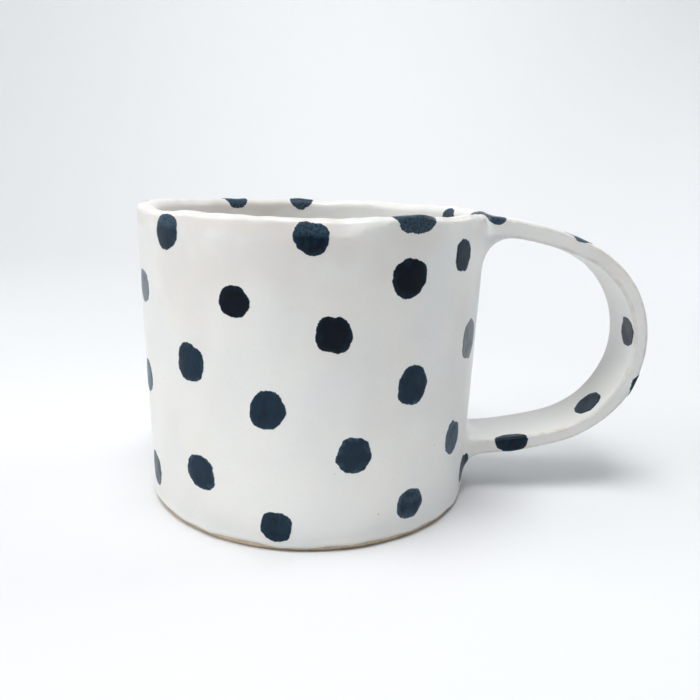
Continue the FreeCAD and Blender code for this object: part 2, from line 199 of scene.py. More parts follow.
def rim_lift(angle, z):
    """How much higher the rim stands than it would if it were level."""
    nicks = rim_nicks(angle, z) * smooth(HEIGHT - NICK_DEPTH, HEIGHT, z)
    return rim_waves(angle, z) * smooth(LIFT_START, HEIGHT, z) + nicks


def evened(points):
    """Angle, radius and height of points once the wall's unevenness is taken off."""
    x, y, z = points.T
    angle = np.arctan2(y, x)
    radius = np.hypot(x, y) - wall_waves(angle, z) - hand_waves(angle, z)
    return angle, radius, z - rim_lift(angle, z)


def cup_faces(points):
    """Distances past the cup's outer side, past its inner side and past its top."""
    angle, radius, z = evened(points)
    outside = radius - outer_radius(z) + thumb_press(angle, z)
    cavity = round_max(radius - (outer_radius(z) - WALL), FLOOR - z, COIL)
    return outside, -cavity, z - HEIGHT


def wall_only(points):
    """The cup's two sides and rim with no floor between them."""
    angle, radius, z = evened(points)
    outside = radius - outer_radius(z) + thumb_press(angle, z)
    inside = outer_radius(z) - WALL - radius
    return rimmed(outside, inside, z - HEIGHT)


def rimmed(outside, inside, above):
    """The wall between its two faces and under its top, crisper at the outer edge."""
    edge = np.where(outside > inside, RIM_EDGE, RIM_ROUND)
    return round_max(np.maximum(outside, inside), above, edge)


def cup(points):
    return rimmed(*cup_faces(points))


def strap_arcs():
    """The strap's middle line as (centre x, centre z, radius, first angle, last angle, length
    before it): a loop between two flatter arcs that leave the wall level."""
    radius = (STRAP_TOP - STRAP_BOTTOM) / 2 - LOOP_TUCK
    middle = (STRAP_TOP + STRAP_BOTTOM) / 2 - LOOP_SAG
    out = handle_high.x + GLAZE - STRAP / 2 - radius
    arcs, before = [], 0.0
    joins = []
    for height, sense in ((STRAP_TOP, 1), (STRAP_BOTTOM, -1)):
        root = outer_radius(height) - WALL / 2
        rise, run = sense * (height - middle), out - root
        flat = (run * run + rise * rise - radius * radius) / (2 * (rise - radius))
        centre = height - sense * flat
        joins.append((root, centre, flat, math.atan2(middle - centre, run)))
    (root, centre, flat, upper), (low_root, low_centre, low_flat, lower) = joins
    spans = (
        (root, centre, flat, math.pi / 2, upper),
        (out, middle, radius, upper, lower),
        (low_root, low_centre, low_flat, lower, -math.pi / 2),
    )
    for x, z, r, first, last in spans:
        arcs.append((x, z, r, first, last, before))
        before += r * (first - last)
    return arcs, before


ARCS, STRAP_LENGTH = strap_arcs()


def along_strap(points):
    """Distance along the middle line, distance off it (outwards is positive), and distance past
    its ends."""
    x, z = points[:, 0], points[:, 2]
    best = None
    for cx, cz, radius, first, last, before in ARCS:
        angle = np.clip(np.arctan2(z - cz, x - cx), last, first)
        nx, nz = np.cos(angle), np.sin(angle)
        dx, dz = x - cx - radius * nx, z - cz - radius * nz
        found = np.array(
            [np.hypot(dx, dz), before + radius * (first - angle), dx * nx + dz * nz,
             np.abs(dx * nz - dz * nx)]
        )
        best = found if best is None else np.where(found[0] < best[0], found, best)
    return best[1:]


# how much the strap swells towards each end and thins in the middle of its loop, with the shares of
# its length between which each comes in
SWELLS = (
    (0.35 * MM, 0.34, 0.04),
    (-0.12 * MM, 0.3, 0.5),
    (0.12 * MM, 0.7, 0.95),
)
# the inner face is a little hollow, the outer one a little crowned
HOLLOW = 0.32 * MM
CROWN = 0.22 * MM
# how far past an end counts as past it
END_SLACK = 0.01 * MM


def strap_faces(points):
    """Distances past the strap's edges and past its two faces, and past its ends."""
    along, off, past = along_strap(points)
    share = along / STRAP_LENGTH
    turn = 2 * math.pi * share
    half_width = STRAP_WIDTH / 2 + strap_waves(turn, 0)
    half = STRAP / 2 + sum(size * smooth(low, high, share) for size, low, high in SWELLS)
    y = points[:, 1] - sway_waves(turn, 0)
    across = np.clip(y / half_width, -1, 1)
    hollow = HOLLOW * (1 - across ** 2) * smooth(0, -STRAP / 3, off)
    crown = CROWN * across ** 2 * smooth(0, STRAP / 3, off)
    off = off - hollow + crown
    return np.abs(y) - half_width, np.abs(off) - half, past


def strap(points):
    sides, faces, past = strap_faces(points)
    ended = np.where(past > END_SLACK, past, -STRAP)
    return np.maximum(round_max(sides, faces, STRAP_EDGE), ended)


# How far the worked clay runs out where the strap meets the wall: over and under each end.
JOINTS = ((STRAP_TOP, 1.6 * MM, 10.0 * MM), (STRAP_BOTTOM, 5.0 * MM, 7.0 * MM))
# between these shares of the height the lower joint's sizes give way to the upper one's
JOINT_CHANGE = (0.45, 0.55)
# shares of the wall, in from its outside, between which the run-out fades
RUN_OUT = (-0.8, -0.3)
LEAST_BLEND = 0.01 * MM


def worked_clay(points):
    """Size of the hollow round between strap and wall, at each point."""
    z = points[:, 2]
    sizes = []
    for height, over, under in JOINTS:
        share = smooth(height - STRAP, height + STRAP, z)
        sizes.append(under + (over - under) * share)
    upper = smooth(JOINT_CHANGE[0] * HEIGHT, JOINT_CHANGE[1] * HEIGHT, z)
    size = sizes[1] + (sizes[0] - sizes[1]) * upper
    outside = np.hypot(points[:, 0], points[:, 1]) - outer_radius(z)
    faded = size * smooth(RUN_OUT[0] * WALL, RUN_OUT[1] * WALL, outside)
    return np.maximum(faded, LEAST_BLEND)


def glazed(points):
    """The whole glazed mug: cup and strap, run into each other."""
    a, b, size = cup(points), strap(points), worked_clay(points)
    gap = np.maximum(size - np.abs(a - b), 0) / size
    return np.minimum(a, b) - gap * gap * size / 4


SLOPE_STEP = 0.01 * MM
LEAST_SLOPE = 0.1
LONGEST_MOVE = 2 * MM


def slope(field, points, step=SLOPE_STEP):
    """The field's gradient, by central differences."""
    rise = [field(points + d) - field(points - d) for d in np.eye(3) * step]
    return np.array(rise).T / (2 * step)


def onto(field, points, level=0.0, steps=6):
    """Moves points along the slope to where the field has that level."""
    points = np.array(points, float)
    for _ in range(steps):
        gradient = slope(field, points)
        size = np.maximum((gradient * gradient).sum(1), LEAST_SLOPE)
        move = (level - field(points)) / size
        move = np.clip(move, -LONGEST_MOVE, LONGEST_MOVE)
        points += gradient * move[:, None]
    return points


def outwards(field, points):
    gradient = slope(field, points)
    return gradient / np.linalg.norm(gradient, axis=1)[:, None]


# ---- grids ------------------------------------------------------------------------------------

COLUMNS = 64
# each joint takes this many cells of the cup's grid, across and up
ACROSS, UP = 8, 4
CORNER = math.cos(math.pi / 4)
# where each joint's block of cells starts and ends, from the strap's middle line
LOW_JOINT = (-7.7 * MM, 6.4 * MM)
HIGH_JOINT = (-13.1 * MM, 0.3 * MM)
# rows above the glaze's lower edge, between the joints and down the inside
FOOT_ROWS = (0, 0.8 * MM, 2.2 * MM)
ROWS_BETWEEN = 5
ROWS_INSIDE = 7
INSIDE_START = 5 * MM
# degrees round each edge of the rim and the corner, and shares of the floor's radius
RIM_ROWS = (45, 72)
RIM_INSIDE_ROWS = (72, 45, 5)
CORNER_ROWS = (25, 55, 80)
FLOOR_ROWS = (0.88, 0.6, 0.32, 0.1)


def rim_point(degrees, inside=False):
    """(radius, height) on the rim's rounding, from 0 at its side to 90 on top."""
    angle = math.radians(degrees)
    edge = RIM_ROUND if inside else RIM_EDGE
    in_from_side = edge * (1 - math.cos(angle))
    if inside:
        in_from_side = WALL - in_from_side
    return outer_radius(RIM_START) - in_from_side, HEIGHT - edge * (1 - math.sin(angle))


def cup_rows():
    """(radius, height) of the grid's rows from the foot over the rim to the floor, and the first
    row of each joint."""
    low_joint = STRAP_BOTTOM + np.linspace(*LOW_JOINT, UP + 1)
    high_joint = STRAP_TOP + np.linspace(*HIGH_JOINT, UP)
    foot = [BARE_FOOT + rise for rise in FOOT_ROWS]
    between = np.linspace(low_joint[-1], high_joint[0], ROWS_BETWEEN + 2)[1:-1]
    outside = [*foot, *low_joint, *between, *high_joint]
    rows = [(outer_radius(z), z) for z in outside]
    rows += [rim_point(degrees) for degrees in RIM_ROWS]
    rows += [(outer_radius(HEIGHT) - WALL / 2, HEIGHT)]
    rows += [rim_point(degrees, inside=True) for degrees in RIM_INSIDE_ROWS]
    inside = np.linspace(RIM_START - INSIDE_START, FLOOR + COIL, ROWS_INSIDE)
    rows += [(outer_radius(z) - WALL, z) for z in inside]
    corner = outer_radius(FLOOR) - WALL - COIL
    for degrees in CORNER_ROWS:
        angle = math.radians(degrees)
        rows.append((corner + COIL * math.cos(angle), FLOOR + COIL * (1 - math.sin(angle))))
    rows += [(corner * share, FLOOR) for share in FLOOR_ROWS]
    return rows, {"low": len(foot), "high": len(foot) + len(low_joint) + len(between)}


ROWS, JOINT_ROWS = cup_rows()


def perimeter():
    """Steps round the edge of a joint's block of cells, as (across, up)."""
    half = ACROSS // 2
    steps = [(c, 0) for c in range(-half, half)]
    steps += [(half, r) for r in range(UP)]
    steps += [(c, UP) for c in range(half, -half, -1)]
    return steps + [(-half, r) for r in range(UP, 0, -1)]


# shares of the strap's flat half width at each step across
SECTION_STEPS = (0, 0.36, 0.7, 1)


def strap_section():
    """(across, off) of the strap's outline at each step of the perimeter, outer face up."""
    half_width, half, edge = STRAP_WIDTH / 2, STRAP / 2, STRAP_EDGE
    points = []
    for c, r in perimeter():
        across_end, up_end = abs(c) == ACROSS // 2, r in (0, UP)
        if across_end and up_end:
            across = half_width - edge * (1 - CORNER)
            off = half - edge * (1 - CORNER)
        elif across_end:
            across, off = half_width, (half - edge) * abs(r - UP / 2)
        else:
            across, off = (half_width - edge) * SECTION_STEPS[abs(c)], half
        points.append((math.copysign(across, c), math.copysign(off, r - UP / 2)))
    return np.array(points)


def strap_point(along, across, off):
    """The place at a distance along the strap's middle line, across it and off it."""
    along, across, off = np.broadcast_arrays(along, across, off)
    found = np.empty((len(along), 3))
    for index, (cx, cz, radius, first, last, before) in enumerate(ARCS):
        here = along >= before if index else np.full(len(along), True)
        angle = first - (along - before) / radius
        turned = np.stack(
            [cx + (radius + off) * np.cos(angle), across, cz + (radius + off) * np.sin(angle)], 1
        )
        found[here] = turned[here]
    return found


class Cage:
    """Points and faces, gathered piece by piece. parts has the numbers of each part's faces."""

    def __init__(self):
        self.points = []
        self.faces = []
        self.parts = {}

    def add(self, points):
        first = len(self.points)
        self.points.extend(map(tuple, points))
        return list(range(first, len(self.points)))

    def band(self, lower, upper, part):
        """Quads between two closed rings of the same length."""
        faces = self.parts.setdefault(part, [])
        for k in range(len(lower)):
            following = (k + 1) % len(lower)
            faces.append(len(self.faces))
            self.faces.append((lower[k], lower[following], upper[following], upper[k]))


# shares of the way from the wall to the strap where a joint's grid has rings
JOINT_RINGS = (0.16, 0.34, 0.54, 0.76)
STRAP_RINGS = 22
# distance along the strap where each joint's grid ends
STRAP_STARTS = (12.5 * MM, STRAP_LENGTH - 9.8 * MM)


def mug_cage():
    """A coarse grid over the whole glazed surface, open at the foot."""
    cage = Cage()
    rings = []
    for radius, z in ROWS:
        angles = np.arange(COLUMNS) * 2 * math.pi / COLUMNS
        ring = np.stack([radius * np.cos(angles), radius * np.sin(angles), angles * 0 + z], 1)
        rings.append(cage.add(ring))
    half = ACROSS // 2
    cup_cells = cage.parts.setdefault("cup", [])
    for row in range(len(ROWS) - 1):
        for column in range(COLUMNS):
            beside = column < half or column >= COLUMNS - half
            if beside and any(first <= row < first + UP for first in JOINT_ROWS.values()):
                continue
            following = (column + 1) % COLUMNS
            cup_cells.append(len(cage.faces))
            cage.faces.append((
                rings[row][column], rings[row][following],
                rings[row + 1][following], rings[row + 1][column],
            ))
    centre = cage.add([(0, 0, FLOOR)])[0]
    for column in range(COLUMNS):
        cup_cells.append(len(cage.faces))
        cage.faces.append((rings[-1][column], rings[-1][(column + 1) % COLUMNS], centre))
    section = strap_section()
    edges, ends = [], []
    for name, start in zip(("high", "low"), STRAP_STARTS):
        edge = []
        for c, r in perimeter():
            up = r if name == "high" else UP - r
            edge.append(rings[JOINT_ROWS[name] + up][c % COLUMNS])
        edges.append(edge)
        ends.append(strap_point(np.full(len(section), start), *section.T))
    stack = [edges[0]]
    near, far = np.array([cage.points[i] for i in edges[0]]), ends[0]
    stack += [cage.add(near + (far - near) * share) for share in JOINT_RINGS]
    joint_bands = len(stack)
    for along in np.linspace(*STRAP_STARTS, STRAP_RINGS + 1):
        stack.append(cage.add(strap_point(np.full(len(section), along), *section.T)))
    near, far = np.array([cage.points[i] for i in edges[1]]), ends[1]
    stack += [cage.add(near + (far - near) * share) for share in reversed(JOINT_RINGS)]
    stack.append(edges[1])
    for k, (here, there) in enumerate(zip(stack, stack[1:])):
        part = "strap"
        if k < joint_bands:
            part = "upper_joint"
        elif k >= joint_bands + STRAP_RINGS:
            part = "lower_joint"
        cage.band(here, there, part)
    return cage


def subdivided(points, faces, levels):
    """The Catmull-Clark surface of a cage, as arrays of points and of faces."""
    mesh = bpy.data.meshes.new("cage")
    mesh.from_pydata(points, [], faces)
    thing = bpy.data.objects.new("cage", mesh)
    bpy.context.collection.objects.link(thing)
    thing.modifiers.new("fine", "SUBSURF").levels = levels
    fine = thing.evaluated_get(bpy.context.evaluated_depsgraph_get()).to_mesh()
    placed = np.array([v.co for v in fine.vertices])
    cells = [tuple(p.vertices) for p in fine.polygons]
    bpy.data.objects.remove(thing)
    bpy.data.meshes.remove(mesh)
    return placed, cells


def used(points, faces):
    """Only the points that these faces use, and the faces renumbered to match."""
    kept = sorted({i for face in faces for i in face})
    number = {old: new for new, old in enumerate(kept)}
    return [points[i] for i in kept], [tuple(number[i] for i in face) for face in faces]


def shell(outer, faces, inner):
    """A closed mesh between two layers of points that share the same faces."""
    sides = {}
    for face in faces:
        for a, b in zip(face, face[1:] + face[:1]):
            sides[a, b] = face
    count = len(outer)
    closing = [
        (b, a, a + count, b + count) for a, b in sides if (b, a) not in sides
    ]
    under = [tuple(i + count for i in reversed(face)) for face in faces]
    return np.vstack([outer, inner]), [*faces, *under, *closing]


def piece(name, points, faces, replaced, surface):
    """A smooth mesh of the mug's body that stands for some CAD nodes."""
    mesh = bpy.data.meshes.new(name)
    mesh.from_pydata(points.tolist(), [], faces)
    bmesh_copy = bmesh.new()
    bmesh_copy.from_mesh(mesh)
    bmesh.ops.recalc_face_normals(bmesh_copy, faces=bmesh_copy.faces)
    bmesh_copy.to_mesh(mesh)
    bmesh_copy.free()
    mesh.polygons.foreach_set("use_smooth", [True] * len(mesh.polygons))
    mesh.materials.append(surface)
    made = bpy.data.objects.new(name, mesh)
    bpy.context.collection.objects.link(made)
    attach(made, "root")
    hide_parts(*replaced)
    return made


def add_values(made, name, values):
    """A number for each vertex, for the material to read."""
    made.data.attributes.new(name, "FLOAT", "POINT").data.foreach_set("value", values)


# ---- materials --------------------------------------------------------------------------------

class Surface:
    """A principled material. Inputs are given as numbers, colours or other nodes' outputs."""

    def __init__(self, name, **values):
        self.material = bpy.data.materials.new(name)
        self.material.use_nodes = True
        self.tree = self.material.node_tree
        self.shader = self.tree.nodes["Principled BSDF"]
        self.feed(self.shader, values)
        coordinates = self.tree.nodes.new("ShaderNodeTexCoord")
        self.place = coordinates.outputs["Object"]

    def feed(self, node, values):
        for name, value in values.items():
            socket = node.inputs[name]
            if isinstance(value, bpy.types.NodeSocket):
                self.tree.links.new(value, socket)
            else:
                socket.default_value = value

    def node(self, kind, values, output=0, **settings):
        made = self.tree.nodes.new("ShaderNode" + kind)
        for name, value in settings.items():
            setattr(made, name, value)
        self.feed(made, values)
        return made.outputs[output]

    def maths(self, operation, *values):
        return self.node("Math", dict(enumerate(values)), operation=operation)

    def times(self, a, b):
        return self.maths("MULTIPLY", a, b)

    def plus(self, a, b):
        return self.maths("ADD", a, b)

    def blend(self, share, a, b):
        return self.node("Mix", {0: share, 6: a, 7: b}, output=2, data_type="RGBA")

    def ramp(self, value, low, high, first=0.0, last=1.0):
        """first where the value is under low, last where it is over high, and smooth between."""
        values = {0: value, 1: low, 2: high, 3: first, 4: last}
        return self.node("MapRange", values, interpolation_type="SMOOTHSTEP")

    def noise(self, size, detail=3.0, rough=0.5, stretch=(1, 1, 1)):
        """Noise whose blotches are about that size."""
        moved = self.node("Mapping", {"Vector": self.place, "Scale": stretch})
        values = {"Vector": moved, "Scale": 1 / size, "Detail": detail, "Roughness": rough}
        return self.node("TexNoise", values)

    def specks(self, size, share, radius):
        """1 inside a few round specks: one cell in so many holds one."""
        values = {"Vector": self.place, "Scale": 1 / size}
        cells = self.tree.nodes.new("ShaderNodeTexVoronoi")
        self.feed(cells, values)
        chosen = self.node("SeparateColor", {0: cells.outputs["Color"]})
        spread = self.maths("MULTIPLY", self.ramp(chosen, 1 - share, 1.0), radius)
        return self.maths("LESS_THAN", cells.outputs["Distance"], spread)

    def attribute(self, name):
        return self.node("Attribute", {}, output=2, attribute_name=name)

    def axis(self, index):
        return self.node("SeparateXYZ", {0: self.place}, output=index)

    def bump(self, *layers):
        """Stacks layers of (height, depth in metres)."""
        normal = None
        for height, depth in layers:
            values = {"Height": height, "Distance": depth, "Strength": 1.0}
            if normal is not None:
                values["Normal"] = normal
            normal = self.node("Bump", values)
        self.feed(self.shader, {"Normal": normal})


WHITE = (0.78, 0.775, 0.745, 1)
COOL_WHITE = (0.74, 0.755, 0.74, 1)
BLUSH = (0.70, 0.64, 0.60, 1)
TAN = (0.46, 0.35, 0.24, 1)
SPECK = (0.20, 0.15, 0.11, 1)
INK = (0.0015, 0.0048, 0.0100, 1)
INK_THIN = (0.009, 0.025, 0.045, 1)
INK_EDGE = (0.060, 0.100, 0.14, 1)
INK_PALE = (0.17, 0.19, 0.21, 1)
CLAY_PALE = (0.74, 0.61, 0.46, 1)
CLAY_DARK = (0.58, 0.46, 0.33, 1)


# heights from the rim, wander and all, between which the pink band fades in and out again
BAND_BELOW = (-2.2 * MM, 0.6 * MM)
BAND_ABOVE = (4.6 * MM, 2.6 * MM)
BAND_WANDER = 6 * MM
# x between which the band shows: it is on the side away from the handle
BAND_SIDE = (0.012, -0.02)
# the rim is worn on the handle's side only, past these x
WORN_SIDE = (14 * MM, 6 * MM)
WORN_RIM = (-4 * MM, -2 * MM)
LEFT_WEAR = 0.2


def glaze_colour(s):
    """White glaze, greener where thick, tan where it broke thin over an edge, with a blush of
    clay showing under the rim and a few iron specks."""
    height, x = s.axis(2), s.axis(0)
    cool = s.ramp(s.noise(14 * MM), 0.35, 0.65)
    colour = s.blend(cool, WHITE, COOL_WHITE)
    mottle = s.ramp(s.noise(0.8 * MM, 3.0, 0.7), 0.42, 0.72, 0.0, 0.16)
    colour = s.blend(mottle, colour, BLUSH)
    wander = s.times(s.noise(5 * MM, 4.0, stretch=(1, 1, 0.5)), BAND_WANDER)
    level = s.plus(height, wander)
    below, above = (
        s.ramp(level, *(HEIGHT + edge for edge in edges)) for edges in (BAND_BELOW, BAND_ABOVE)
    )
    band = s.times(s.times(below, above), s.ramp(x, *BAND_SIDE))
    unworn = s.ramp(s.attribute("thin"), 0.2, 0.6, 0.6, 0.0)
    colour = s.blend(s.times(band, unworn), colour, BLUSH)
    upper = s.ramp(height, 0.5 * HEIGHT, 0.9 * HEIGHT, 0.15, 0.5)
    warm = s.times(s.ramp(s.noise(18 * MM, 2.0), 0.45, 0.7), upper)
    colour = s.blend(warm, colour, BLUSH)
    wear = s.plus(s.attribute("thin"), s.times(s.noise(7 * MM), 0.55))
    patches = s.ramp(s.noise(3.2 * MM), 0.36, 0.64, 0.05, 0.30)
    on_rim = s.ramp(height, *(HEIGHT + edge for edge in WORN_RIM))
    rim_left = s.times(on_rim, s.ramp(x, *WORN_SIDE))
    wear_and_glints = s.times(s.ramp(wear, 0.36, 1.3), patches)
    wear_and_glints = s.times(wear_and_glints, s.ramp(rim_left, 0.0, 1.0, 1.0, LEFT_WEAR))
    colour = s.blend(wear_and_glints, colour, TAN)
    colour = s.blend(s.times(s.specks(1.1 * MM, 0.16, 0.10), 0.22), colour, SPECK)
    return s.blend(s.times(s.specks(3.6 * MM, 0.2, 0.055), 0.6), colour, SPECK)


def glaze_material():
    s = Surface("white_glaze", Roughness=0.34)
    s.feed(s.shader, {"Base Color": glaze_colour(s), "IOR": 1.5})
    s.bump((s.noise(11 * MM, 2.0), 0.10 * MM), (s.noise(1.5 * MM, 3.0), 0.012 * MM))
    return s.material


# the colour is painted paler and grainy towards the rim, between these heights from it: painted
# glints standing in for light catching its rough top
INK_GLINT_HEIGHTS = (-4.6 * MM, -2.6 * MM)


def dot_material():
    """Blue-black colour brushed over the glaze. It is dark where it lies thick, and breaks up
    into grains at its edge."""
    s = Surface("brushed_colour", Roughness=0.30)
    reach, tone = s.attribute("reach"), s.attribute("tone")
    grain = s.noise(0.55 * MM, 4.0, 0.7)
    cloud = s.noise(2.6 * MM, 3.0)
    ragged = s.plus(reach, s.times(s.maths("SUBTRACT", grain, 0.5), 0.17))
    cover = s.ramp(ragged, 1.0, 0.975)
    strokes = s.noise(1.1 * MM, 3.0, stretch=(1, 1, 0.6))
    uneven = s.maths("SUBTRACT", s.plus(cloud, strokes), 1.0)
    depth = s.plus(tone, s.times(uneven, 0.55))
    depth = s.plus(depth, s.ramp(reach, 0.55, 1.0, 0.0, 0.22))
    colour = s.blend(s.ramp(depth, 0.0, 0.6), INK, INK_THIN)
    colour = s.blend(s.ramp(depth, 0.6, 1.15), colour, INK_EDGE)
    colour = s.blend(s.ramp(depth, 1.1, 1.7), colour, INK_PALE)
    colour = s.blend(s.ramp(ragged, 0.93, 1.0, 0.0, 0.7), colour, INK_EDGE)
    flecks = s.times(s.ramp(grain, 0.66, 0.76), s.ramp(reach, 0.4, 0.95, 0.05, 0.45))
    colour = s.blend(flecks, colour, INK_EDGE)
    # painted glints: near the rim the colour turns paler in grains, in place of light catching its
    # rough top
    near_rim = s.ramp(s.axis(2), *(HEIGHT + edge for edge in INK_GLINT_HEIGHTS))
    wear_and_glints = s.times(near_rim, s.ramp(grain, 0.35, 0.6, 0.1, 0.7))
    colour = s.blend(wear_and_glints, colour, INK_EDGE)
    colour = s.blend(cover, glaze_colour(s), colour)
    s.feed(s.shader, {"Base Color": colour, "Specular IOR Level": 0.11})
    s.bump((s.noise(11 * MM, 2.0), 0.10 * MM), (s.noise(0.7 * MM, 3.0, 0.6), 0.045 * MM))
    return s.material


def clay_material():
    s = Surface("stoneware", Roughness=0.86)
    colour = s.blend(s.ramp(s.noise(3 * MM, 5.0, 0.65), 0.32, 0.68), CLAY_PALE, CLAY_DARK)
    colour = s.blend(s.ramp(s.noise(0.5 * MM, 2.0), 0.6, 0.72), colour, CLAY_PALE)
    colour = s.blend(s.specks(1.6 * MM, 0.15, 0.14), colour, SPECK)
    s.feed(s.shader, {"Base Color": colour})
    s.bump((s.noise(0.6 * MM, 5.0, 0.7), 0.10 * MM))
    return s.material


# ---- glaze and clay ---------------------------------------------------------------------------

# where the glaze ran and gathered at the foot: degrees round, half width and how far down
DRIPS = ((-97, 8, 0.45 * MM), (-70, 5, -0.25 * MM), (-128, 6, 0.2 * MM), (35, 9, 0.4 * MM))
# the bead along the glaze's lower edge: its height, how far up it sits and how wide it is
BEAD = (0.16 * MM, 0.7 * MM, 0.6 * MM)
# how far the very edge is drawn in, and how high that reaches
LIP = (0.18 * MM, 0.3 * MM)
# the wavy lower edge evens out by this height
FOOT_EVEN = 8 * MM
# radians per metre of outward curve between which glaze goes from whole to thin over an edge
THIN = (380, 900)


def foot_edge(angle):
    """How far below its usual height the glaze ends."""
    low = foot_waves(angle, 0)
    for degrees, width, drop in DRIPS:
        off = (angle - math.radians(degrees) + math.pi) % (2 * math.pi) - math.pi
        low = low + drop * np.exp(-((off / math.radians(width)) ** 2))
    return low


def thinned(points, step=0.45 * MM):
    """How thin the glaze lies, from 0 on a flat face to 1 over a sharp outer edge."""
    around = sum(glazed(points + d) + glazed(points - d) for d in np.eye(3) * step)
    turning = (around - 6 * glazed(points)) / step ** 2
    return smooth(*THIN, turning)


def make_glaze(cage, surface):
    """The coat of glaze, which gathers in a bead along its lower edge."""
    points, faces = subdivided(cage.points, cage.faces, 2)
    angle = np.arctan2(points[:, 1], points[:, 0])
    outside = np.hypot(points[:, 0], points[:, 1]) > RIM_RADIUS - WALL
    near_foot = smooth(FOOT_EVEN, BARE_FOOT, points[:, 2]) * outside
    points[:, 2] -= foot_edge(angle) * near_foot
    lift = points[:, 2] - (BARE_FOOT - foot_edge(angle))
    points = onto(glazed, points)
    bead, bead_lift, bead_width = BEAD
    bead = bead * np.exp(-(((lift - bead_lift) / bead_width) ** 2)) * outside
    lip, lip_top = LIP
    lip = lip * smooth(lip_top, 0, lift) * outside
    normal = outwards(glazed, points)
    outer = points + normal * (bead - lip)[:, None]
    inner = points - normal * GLAZE
    thin = thinned(points)
    whole, cells = shell(outer, faces, inner)
    made = piece("glaze", whole, cells, ("glaze_coat",), surface)
    add_values(made, "thin", np.concatenate([thin, thin]))


# the gap between glaze and clay, and how deep the meshes of the joints and of the strap go
CLEAR = 0.05 * MM
JOINT_CLAY = 1.4 * MM
STRAP_CORE = 1.9 * MM


def make_clay(cage, surface):
    """The strap and the clay worked round its ends, under the glaze."""
    top = -GLAZE - CLEAR
    for part, node, depth in (
        ("upper_joint", "handle_top_joint", JOINT_CLAY),
        ("lower_joint", "handle_bottom_joint", JOINT_CLAY),
        ("strap", "handle", STRAP_CORE),
    ):
        chosen = [cage.faces[i] for i in cage.parts[part]]
        points, faces = subdivided(*used(cage.points, chosen), 1)
        points = onto(glazed, points, top)
        inner = points - outwards(glazed, points) * depth
        whole, cells = shell(points, faces, inner)
        piece(node + "_clay", whole, cells, (node,), surface)


def turned(outline, columns):
    """A lathe mesh from a list of functions that give (radius, height) round the mug."""
    angle = np.arange(columns) * 2 * math.pi / columns
    rings = []
    for spot in outline:
        radius, z = spot(angle)
        radius, z = radius + angle * 0, z + angle * 0
        rings.append(np.stack([radius * np.cos(angle), radius * np.sin(angle), z], 1))
    points = np.concatenate(rings)
    faces = []
    for ring in range(len(rings) - 1):
        for k in range(columns):
            following = (k + 1) % columns
            low, high = ring * columns, (ring + 1) * columns
            faces.append((low + k, low + following, high + following, high + k))
    return points, faces


WALL_COLUMNS = 2 * COLUMNS
# the wall's lowest row of cells starts this far above the base
WALL_START = 0.5 * MM


def make_wall(surface):
    """The slab wall's clay, under the glaze."""
    lowest = BASE_TOP + WALL_START
    rows = [(r, z) for r, z in ROWS if z >= lowest and r > RIM_RADIUS - 2 * WALL]
    foot = BASE_TOP + CLEAR
    outer = outer_radius(BASE_TOP)

    def at(radius, z):
        return lambda angle: (radius, z)

    outline = [at(*row) for row in ((outer, foot), *rows, (outer - WALL, foot))]
    points, faces = turned(outline, WALL_COLUMNS)
    at_foot = points[:, 2] <= BASE_TOP + 2 * CLEAR
    placed = onto(wall_only, points, -GLAZE - CLEAR)
    placed[at_foot, 2] = foot
    last = len(points) - WALL_COLUMNS
    for k in range(WALL_COLUMNS):
        following = (k + 1) % WALL_COLUMNS
        faces.append((last + k, last + following, following, k))
    piece("wall_clay", placed, faces, ("wall",), surface)


BASE_COLUMNS = 6 * COLUMNS
chips = waves(53, (5, 9, 14, 22, 31, 43, 57), 0.16 * MM, 0)
dents = waves(59, (7, 12, 19, 26, 38), 0.14 * MM, 400)
# the bare band is pressed in by up to twice the dents, between these heights
DENTED = (3 * MM, 0.4 * MM)
DENT_MEAN = 0.14 * MM
# the underside, as (share of the foot's radius, height)
HOLLOW_UNDER = 0.3 * MM
UNDERSIDE = (
    (0.0, HOLLOW_UNDER), (0.3, HOLLOW_UNDER), (0.6, 0.9 * HOLLOW_UNDER),
    (0.85, 0.5 * HOLLOW_UNDER), (0.93, 0.03 * MM),
)
# the heel's rounding, as (how far in from the side, height)
HEEL = ((1.6 * MM, 0), (0.9 * MM, 0), (0.45 * MM, 0.16 * MM))
# the side above it, as (height, how far in)
SIDE = (
    (0.5 * MM, 0.16 * MM), (0.9 * MM, 0.04 * MM), (1.3 * MM, 0), (1.7 * MM, 0), (2.2 * MM, 0),
    (3.0 * MM, 0), (4.2 * MM, 0), (BASE_TOP - CLEAR, 0),
)


def base_side(z, tuck):
    """The bare side at one height, under the glaze and tucked in by that much."""
    def spot(angle):
        radius = outer_radius(z) + wall_waves(angle, z) + hand_waves(angle, z) - GLAZE - CLEAR
        return radius - tuck + smooth(*DENTED, z) * (dents(angle, z) - DENT_MEAN), z
    return spot


def base_heel(tuck, lift):
    """One ring of the chipped edge that the mug stands on."""
    def spot(angle):
        radius = outer_radius(0) + wall_waves(angle, 0) - GLAZE - tuck
        return radius + chips(angle, 0), np.maximum(lift + 0.5 * chips(angle, 1), 0)
    return spot


def base_flat(share, z):
    """A ring at that share of the foot's radius."""
    def spot(angle):
        return outer_radius(0) * share, z
    return spot


def make_base(surface):
    """The bare clay foot: its edge rounded by a thumb and its underside a little hollow."""
    outline = [base_flat(*row) for row in UNDERSIDE]
    outline += [base_heel(*row) for row in HEEL]
    outline += [base_side(*row) for row in SIDE]
    outline += [base_flat(share, BASE_TOP - CLEAR) for share in (0.5, 0)]
    points, faces = turned(outline, BASE_COLUMNS)
    piece("base_clay", points, faces, ("base",), surface)


# ---- dots -------------------------------------------------------------------------------------

# how far a dot stands over the glaze, and how far its back and its outermost edge are sunk in it
DOT_RISE = 0.15 * MM
DOT_SUNK = 0.12 * MM
DOT_EDGE_SUNK = 0.035 * MM
